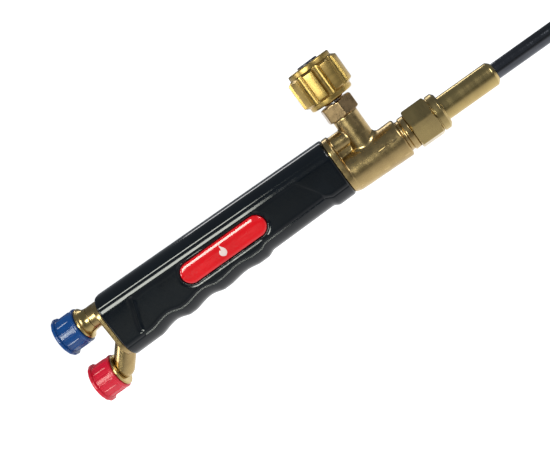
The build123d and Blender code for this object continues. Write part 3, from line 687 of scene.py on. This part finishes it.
def cap(node, name, body, material):
    """A soft ribbed push-on cap with a flange at its closed end."""
    low, high = corners(node)
    back, rim = low[0], high[0]
    line = Line((0, 0, (low[2] + high[2]) / 2), X_AXIS, Y_AXIS)
    profile = rounded(
        [
            (back + 0.25, 0, 0),
            (back, 6.0, 0.8),
            (back, CAP_FLANGE - 0.1, 1.3),
            (back + 2.0, CAP_FLANGE, 0.6),
            (back + 2.4, CAP_RADIUS, 0.5),
            (rim - 1.7, CAP_RADIUS, 0.3),
            (rim - 1.5, CAP_LIP, 0.2),
            (rim - 0.4, CAP_LIP, 0.3),
            (rim, CAP_RADIUS - 0.5, 0.4),
            (rim, CAP_BORE, 0.4),
            (back + 2.1, CAP_BORE, 0.6),
            (back + 2.1, 0, 0),
        ],
        closed=False,
    )
    shape = cap_shape(back + 2.4, rim - 2.2)
    mesh = turned(name, line, divided(profile, 0.8, False), False, 384, shape)
    return finish_piece(name, mesh, body, material, [node], 40)


cap("oxygen_cap", "blue_push_cap", "blue_cap", cap_blue)
cap("fuel_cap", "red_push_cap", "red_cap", cap_red)


def thread_shape(low, high, top, pitch, depth):
    """Cuts a screw thread with slightly rounded crests into the outside from low to high."""

    def shape(along, radius, angle):
        turn = (along / pitch - angle / (2 * math.pi)) % 1
        cut = np.clip(1.25 * (1 - np.abs(2 * turn - 1)) - 0.12, 0, 1)
        inside = (along > low) & (along < high) & (radius > top - 0.05)
        ends = smooth((along - low) / pitch) * smooth((high - along) / pitch)
        return radius - np.where(inside, depth * cut * (0.25 + 0.75 * ends), 0)

    return shape


def nipple(node, name, shank):
    """A hose inlet: cone seat, thread, collar, and the shank that goes into the block."""
    low, high = corners(node)
    line = Line((low[0] + NIPPLE_MIDDLE, 0, (low[2] + high[2]) / 2), X_AXIS, Y_AXIS)
    thread = [(s, THREAD_RADIUS, 0) for s in np.arange(-5.4, 5.7, 0.12)]
    profile = rounded(
        [(-NIPPLE_MIDDLE, 6.2, 0.2), (-NIPPLE_MIDDLE, 7.4, 0.2), (THREAD_START, 7.9, 0.1)]
        + thread
        + [(6.0, 7.6, 0.1), (6.0, COLLAR_RADIUS - 0.25, 0.3), (6.3, COLLAR_RADIUS, 0.3)]
        + [(7.3, COLLAR_RADIUS, 0.3), (7.6, COLLAR_RADIUS - 0.3, 0.2)]
        + shank
        + [(-3.0, 3.0, 0)],
        steps=3,
    )
    shape = thread_shape(THREAD_START, THREAD_END, THREAD_RADIUS, THREAD_PITCH, THREAD_DEPTH)
    mesh = turned(name, line, profile, True, 120, shape)
    return finish_piece(name, mesh, "root", brass_turned, [node], 35)


trumpet = [(8.3, 9.15, 0.2), (9.1, 8.45, 0), (10.2, 7.95, 0), (11.5, 7.62, 0), (13.0, 7.5, 0)]
nipple(
    "oxygen_inlet_nipple",
    "oxygen_hose_nipple",
    trumpet + [(13.0, 5.0, 0), (16.6, 5.0, 0.2), (16.6, 3.0, 0)],
)
nipple("fuel_inlet_nipple", "fuel_hose_nipple", [(7.6, 4.5, 0), (10.0, 4.5, 0.2), (10.0, 3.0, 0)])



def casting(node, name, voxel, smooth_steps):
    """A cast brass piece: the CAD node as one skin with soft edges."""
    mesh = copied(node, name, voxel, smooth_steps)
    return finish_piece(name, mesh, "root", brass_body, [node], 60)


casting("inlet_block", "inlet_casting", 0.42, 4)

# ------------------------------------------------------------------ valve body and its flow arrow
casting("valve_body", "valve_casting", 0.45, 3)
ARROW_FOOT = 11.4
ARROW_TOP = 12.2
ARROW_HEAD = 3.4


def flow_arrow(name, start, length, middle):
    """A cast arrow along the barrel that shows which way the gas flows."""
    neck = length - ARROW_HEAD
    stations = [(0, 0.3), (0.3, 0.55), (neck, 0.55), (neck + 0.05, 1.7), (length, 0.15)]
    rows = []
    for along, half in stations:
        turn = middle + half / ARROW_TOP * np.array((-1.0, -1.0, -0.75, 0.75, 1.0, 1.0))
        shoulder = ARROW_TOP - 0.15
        radius = np.array((ARROW_FOOT, shoulder, ARROW_TOP, ARROW_TOP, shoulder, ARROW_FOOT))
        rows.append(torch.points(np.full(6, start + along), radius, turn))
    faces = grid_faces(len(rows), 6, False, True)
    faces += [(5, 4, 3, 2, 1, 0), tuple(range(6 * len(rows) - 6, 6 * len(rows)))]
    mesh = to_mesh(name, np.concatenate(rows), faces)
    return finish_piece(name, mesh, "root", brass_body, (), 50)


flow_arrow("barrel_flow_arrow", HANDLE_FRONT + 24.0, 13.0, math.radians(166))

# ------------------------------------------------------------------ valves
oxygen_low, oxygen_high = corners("oxygen_knob")
fuel_low, fuel_high = corners("fuel_knob")
OXYGEN_X = (oxygen_low[0] + oxygen_high[0]) / 2
FUEL_X = (fuel_low[0] + fuel_high[0]) / 2
oxygen_line = Line((OXYGEN_X, 0, TORCH_Z), Z_AXIS, X_AXIS)
fuel_line = Line((FUEL_X, 0, TORCH_Z), Y_AXIS, X_AXIS)
GLAND_FLATS = 19.0
GLAND_TURN = 39.0
GLAND_SOCKET = 7.05
GLAND_BORE = 3.2
STEM_BORE = 3.1
LOBES = 9
FLUTE_START = 39.0
HUB = 1.2  # how far the knob's hub stands below it
DISC_RADIUS = 6.5


def span_along(node, line):
    """How far along its valve's line a node starts and ends."""
    low, high = corners(node)
    return np.dot(low - line.origin, line.way), np.dot(high - line.origin, line.way)


def gland_nut(node, name, line):
    """A chamfered hexagon nut over the packing, hollow below and bored for the stem."""
    start, end = span_along(node, line)
    flat = GLAND_FLATS / 2
    profile = rounded(
        [
            (start, GLAND_SOCKET, 0.2),
            (start, flat - 0.25, 0.3),
            (start + 0.95, flat + 1.75, 0.2),
            (end - 1.0, flat + 1.75, 0.2),
            (end, flat - 0.3, 0.4),
            (end, 6.2, 0.3),
            (end - 0.35, 5.8, 0.2),
            (end - 0.35, GLAND_BORE, 0.2),
            (start + 6.0, GLAND_BORE, 0),
            (start + 6.0, GLAND_SOCKET, 0),
        ]
    )
    shape = hex_shape(GLAND_FLATS, GLAND_TURN, 8.5)
    mesh = turned(name, line, divided(profile, 1.2), True, 240, shape)
    return finish_piece(name, mesh, "root", brass_gland, [node], 28)


def knob_shape(start, end, radius, rim, rim_height):
    """Nine flutes between two plain rims, with the ends of the lobes bevelled."""
    cut = radius - rim
    centre = radius + 0.1

    def shape(along, r, angle):
        step = 2 * math.pi / LOBES
        off = (angle - math.radians(FLUTE_START) + step / 2) % step - step / 2
        across_flute = centre * np.sin(off)
        hollow = np.sqrt(np.clip(cut**2 - across_flute**2, 0, None))
        fluted = np.where(np.abs(across_flute) < cut, centre * np.cos(off) - hollow, radius + 1)
        lobed = softer_min(np.full_like(r, radius), fluted, 0.12)
        from_end = np.minimum(along - start, end - along)
        limit = rim + np.clip(1.7 * (from_end - rim_height), 0, radius)
        return np.where(r > rim - 0.05, np.minimum(r, np.minimum(lobed, limit)), r)

    return shape


def hand_knob(node, name, body, line, radius):
    """The milled hand wheel, with a turned recess round its disc."""
    start, end = span_along(node, line)
    rim = 0.84 * radius
    rim_height = 0.12 * (end - start)
    rows = [start + rim_height + s for s in (-0.02, 0.3, 0.7, 1.1, 1.5)]
    rows += list(np.linspace(start + rim_height + 2.5, end - rim_height - 2.5, 8))
    rows += [end - rim_height - s for s in (1.5, 1.1, 0.7, 0.3, -0.02)]
    profile = rounded(
        [(start - HUB, STEM_BORE, 0), (start - HUB, 0.36 * radius, 0.2)]
        + [(start - 0.1, 0.4 * radius, 0.2)]
        + [(start, rim - 0.8, 0.1), (start + 0.7, rim - 0.1, 0.3)]
        + [(rows[0] - 0.1, rim - 0.1, 0)]
        + [(s, radius, 0) for s in rows]
        + [(rows[-1] + 0.1, rim - 0.1, 0)]
        + [(end - 0.5, rim - 0.1, 0.3), (end, rim - 0.7, 0.2)]
        + [(end, 7.4, 0.2), (end - 0.35, 7.0, 0.2)]
        + [(end - 0.35, 5.3, 0.2), (end - 5.0, 5.2, 0.3), (end - 5.0, STEM_BORE, 0)]
    )
    shape = knob_shape(start, end, radius, rim, rim_height)
    mesh = turned(name, line, profile, True, 360, shape)
    return finish_piece(name, mesh, body, brass_knob, [node], 26)


def knob_disc(node, name, body, line):
    """The domed disc on a knob, and the dark ring round its edge."""
    start, end = span_along(node, line)
    face = end - 1.1
    profile = rounded(
        [
            (start, 0, 0),
            (start, 5.1, 0),
            (face, 5.1, 0),
            (face, DISC_RADIUS, 0.2),
            (end - 0.35, DISC_RADIUS, 0.2),
            (end - 0.15, DISC_RADIUS - 0.3, 0.2),
            (end, 0, 0),
        ],
        closed=False,
    )
    mesh = turned(name, line, divided(profile, 0.8, False), False, 96)
    finish_piece(name, mesh, body, disc_white, [node], 40)
    edge = rounded(
        [
            (end - 0.5, DISC_RADIUS - 0.75, 0),
            (end - 0.03, DISC_RADIUS - 0.8, 0.1),
            (end - 0.12, DISC_RADIUS + 0.02, 0.15),
            (face + 0.05, DISC_RADIUS + 0.02, 0.1),
            (face + 0.05, DISC_RADIUS - 0.1, 0),
        ]
    )
    ring = turned(name + "_ring", line, edge, True, 96)
    return finish_piece(name + "_ring", ring, body, disc_ink, (), 40)


gland_nut("oxygen_gland_nut", "oxygen_packing_nut", oxygen_line)
gland_nut("fuel_gland_nut", "fuel_packing_nut", fuel_line)
hand_knob("oxygen_knob", "oxygen_hand_knob", "oxygen_handwheel", oxygen_line, 16.5)
hand_knob("fuel_knob", "fuel_hand_knob", "fuel_handwheel", fuel_line, 11.0)
knob_disc("oxygen_knob_disc", "oxygen_disc", "oxygen_handwheel", oxygen_line)
knob_disc("fuel_knob_disc", "fuel_disc", "fuel_handwheel", fuel_line)

# ------------------------------------------------------------------ union nut and mixer
UNION_FLATS = 23.0
UNION_TURN = -15.2
UNION_HEX_LENGTH = 15.2
UNION_NOSE = 11.5
UNION_BORE = 10.05
UNION_EXIT = 7.65  # bore round the mixer
UNION_WALL = 4.9
union_start, union_end = union_low[0], union_high[0]
hex_end = union_start + UNION_HEX_LENGTH
union_profile = rounded(
    [
        (union_start, UNION_BORE + 0.4, 0.2),
        (union_start, UNION_FLATS / 2 - 0.1, 0.3),
        (union_start + 0.85, UNION_FLATS / 2 + 1.8, 0.2),
        (hex_end - 1.1, UNION_FLATS / 2 + 1.8, 0.2),
        (hex_end, UNION_FLATS / 2 - 0.3, 0.2),
        (hex_end + 0.1, UNION_NOSE - 0.75, 0.1),
        (hex_end + 0.7, UNION_NOSE - 0.75, 0.1),
        (hex_end + 0.8, UNION_NOSE - 0.05, 0.2),
        (union_end - 1.6, UNION_NOSE - 0.05, 0.2),
        (union_end, UNION_NOSE - 1.65, 0.2),
        (union_end, UNION_EXIT, 0.2),
        (union_end - UNION_WALL, UNION_EXIT, 0),
        (union_end - UNION_WALL, UNION_BORE, 0),
    ]
)
union_hex = hex_shape(UNION_FLATS, UNION_TURN, 11.46)
union_mesh = turned("union_hex_nut", torch, divided(union_profile, 1.5), True, 240, union_hex)
finish_piece("union_hex_nut", union_mesh, "union", brass_union, ["union_nut"], 28)

MIXER_RADIUS = 7.5
MIXER_PLUG = 5.9
MIXER_SHOULDER = 9.0
SEAL_FLOOR = 4.45
SEAL_GROOVES = ((2.7, 4.3), (7.7, 9.3))  # start and end, from the mixer's start
TIP_SOCKET = 5.06
TIP_DEPTH = 9.0
mixer_start, mixer_end = mixer_low[0], mixer_high[0]
shoulder = mixer_start + 16.0
seal_grooves = [
    (mixer_start + s, r, 0)
    for start, end in SEAL_GROOVES
    for s, r in ((start, MIXER_PLUG), (start, SEAL_FLOOR), (end, SEAL_FLOOR), (end, MIXER_PLUG))
]
mixer_profile = rounded(
    [(mixer_start, 3.2, 0), (mixer_start, 5.1, 0.2), (mixer_start + 0.8, MIXER_PLUG, 0.2)]
    + seal_grooves
    + [
        (shoulder, MIXER_PLUG, 0),
        (shoulder, MIXER_SHOULDER, 0.3),
        (shoulder + 3.5, MIXER_SHOULDER, 0.3),
        (shoulder + 3.5, MIXER_RADIUS, 0),
        (mixer_end - 2.0, MIXER_RADIUS, 0.5),
        (mixer_end - 0.05, 5.65, 0.3),
        (mixer_end - 0.3, TIP_SOCKET, 0),
        (mixer_end - TIP_DEPTH, TIP_SOCKET, 0),
        (mixer_end - TIP_DEPTH, 2.5, 0),
        (mixer_start + 5.0, 1.5, 0),
    ]
)
mixer_mesh = turned("mixer_barrel", torch, divided(mixer_profile, 3.0), True, 144)
finish_piece("mixer_barrel", mixer_mesh, "tip", brass_turned, ["mixer_tube"], 30)

# ------------------------------------------------------------------ floor, light and camera
FLOOR_HALF = 6.0
FLOOR_Z = cad_box[0][2] - 0.004
FLOOR_GREY = 0.85  # as the camera sees it
FLOOR_GLOW = 0.85
REFLECTED_GREY = 0.12  # as the torch reflects it
REFLECTED_GLOW_FRONT = 0.03
REFLECTED_GLOW_BACK = 1.3
GLOW_STARTS, GLOW_FULL = -0.15, 0.03  # metres along Y, from the front glow to the back one
floor_mesh = bpy.data.meshes.new("floor")
floor_mesh.from_pydata(
    [(x * FLOOR_HALF, y * FLOOR_HALF, FLOOR_Z) for x, y in ((-1, -1), (1, -1), (1, 1), (-1, 1))],
    [],
    [(0, 1, 2, 3)],
)
floor = bpy.data.objects.new("floor", floor_mesh)
bpy.context.scene.collection.objects.link(floor)
floor_paint = Nodes("floor paint")
floor_paint.shader.inputs["Roughness"].default_value = 0.9
floor_paint.shader.inputs["Emission Color"].default_value = (1, 1, 1, 1)
floor_axes = floor_paint.add("ShaderNodeSeparateXYZ")
floor_paint.link(floor_paint.place, floor_axes.inputs[0])
floor_glow = floor_paint.ramp(
    floor_axes.outputs["Y"], GLOW_STARTS, GLOW_FULL, REFLECTED_GLOW_FRONT, REFLECTED_GLOW_BACK
)
floor_seen = floor_paint.add("ShaderNodeLightPath").outputs["Is Camera Ray"]
floor_mix = floor_paint.add("ShaderNodeMix")
floor_mix.inputs[3].default_value = FLOOR_GLOW
floor_paint.link(floor_seen, floor_mix.inputs[0])
floor_paint.link(floor_glow, floor_mix.inputs[2])
floor_paint.link(floor_mix.outputs[0], floor_paint.shader.inputs["Emission Strength"])
floor_tone = floor_paint.mix(floor_seen, (REFLECTED_GREY,) * 3, (FLOOR_GREY,) * 3)
floor_paint.link(floor_tone, floor_paint.shader.inputs["Base Color"])
floor_mesh.materials.append(floor_paint.material)


def softbox(name, place, aim, size, power, colour=(1, 1, 1)):
    """A rectangular studio light, in millimetres, facing a point. Its long side stays level."""
    lamp = bpy.data.lights.new(name, "AREA")
    lamp.shape = "RECTANGLE"
    lamp.size = size[0] * MM
    lamp.size_y = size[1] * MM
    lamp.energy = power
    lamp.color = colour
    box = bpy.data.objects.new(name, lamp)
    bpy.context.scene.collection.objects.link(box)
    box.location = Vector(place) * MM
    box.rotation_euler = (Vector(aim) * MM - box.location).to_track_quat("-Z", "Y").to_euler()


STRIP_TINT = (0.97, 1.0, 0.9)
softbox("strip along the handle", (-130, -600, 150), (60, 0, -10), (340, 190), 2.8, STRIP_TINT)
softbox("back rim", (160, 420, 420), (170, 0, 0), (420, 120), 0.7)
softbox("right key", (560, -330, 260), (210, 0, 0), (200, 260), 1.6)
softbox("left fill", (-420, -200, 160), (150, 0, -10), (160, 260), 0.8)

world = bpy.data.worlds.new("studio")
bpy.context.scene.world = world
world.use_nodes = True
SKY_SEEN = ((1, 1, 1, 1), 1.3)  # colour and strength as the camera sees them
SKY_LIT = ((0.85, 0.92, 1.0, 1), 0.22)  # and as they light the torch
sky = world.node_tree
sky.nodes.clear()
sky_out = sky.nodes.new("ShaderNodeOutputWorld")
sky_mix = sky.nodes.new("ShaderNodeMixShader")
sky_seen = sky.nodes.new("ShaderNodeBackground")
sky_lit = sky.nodes.new("ShaderNodeBackground")
sky_path = sky.nodes.new("ShaderNodeLightPath")
for background, (colour, strength) in ((sky_seen, SKY_SEEN), (sky_lit, SKY_LIT)):
    background.inputs["Color"].default_value = colour
    background.inputs["Strength"].default_value = strength
sky.links.new(sky_path.outputs["Is Camera Ray"], sky_mix.inputs[0])
sky.links.new(sky_lit.outputs[0], sky_mix.inputs[1])
sky.links.new(sky_seen.outputs[0], sky_mix.inputs[2])
sky.links.new(sky_mix.outputs[0], sky_out.inputs["Surface"])
bpy.context.scene.view_settings.view_transform = "Standard"

AIM = (138.25, 0.0, -18.61)
CAMERA_DISTANCE = 534.9
CAMERA_AZIMUTH = 9.385
CAMERA_ELEVATION = 7.549
CAMERA_ROLL = 36.668
CAMERA_LENS = 59.07

camera_data = bpy.data.cameras.new("camera")
camera_data.lens = CAMERA_LENS
camera_data.clip_start = 0.01
camera_data.clip_end = 100
camera = bpy.data.objects.new("camera", camera_data)
bpy.context.scene.collection.objects.link(camera)
bpy.context.scene.camera = camera
azimuth = math.radians(CAMERA_AZIMUTH)
elevation = math.radians(CAMERA_ELEVATION)
back = Vector(
    (
        math.sin(azimuth) * math.cos(elevation),
        -math.cos(azimuth) * math.cos(elevation),
        math.sin(elevation),
    )
)
camera.location = (Vector(AIM) + back * CAMERA_DISTANCE) * MM
level = (-back).to_track_quat("-Z", "Y").to_matrix()
camera.rotation_euler = (level @ level.Rotation(-math.radians(CAMERA_ROLL), 3, "Z")).to_euler()
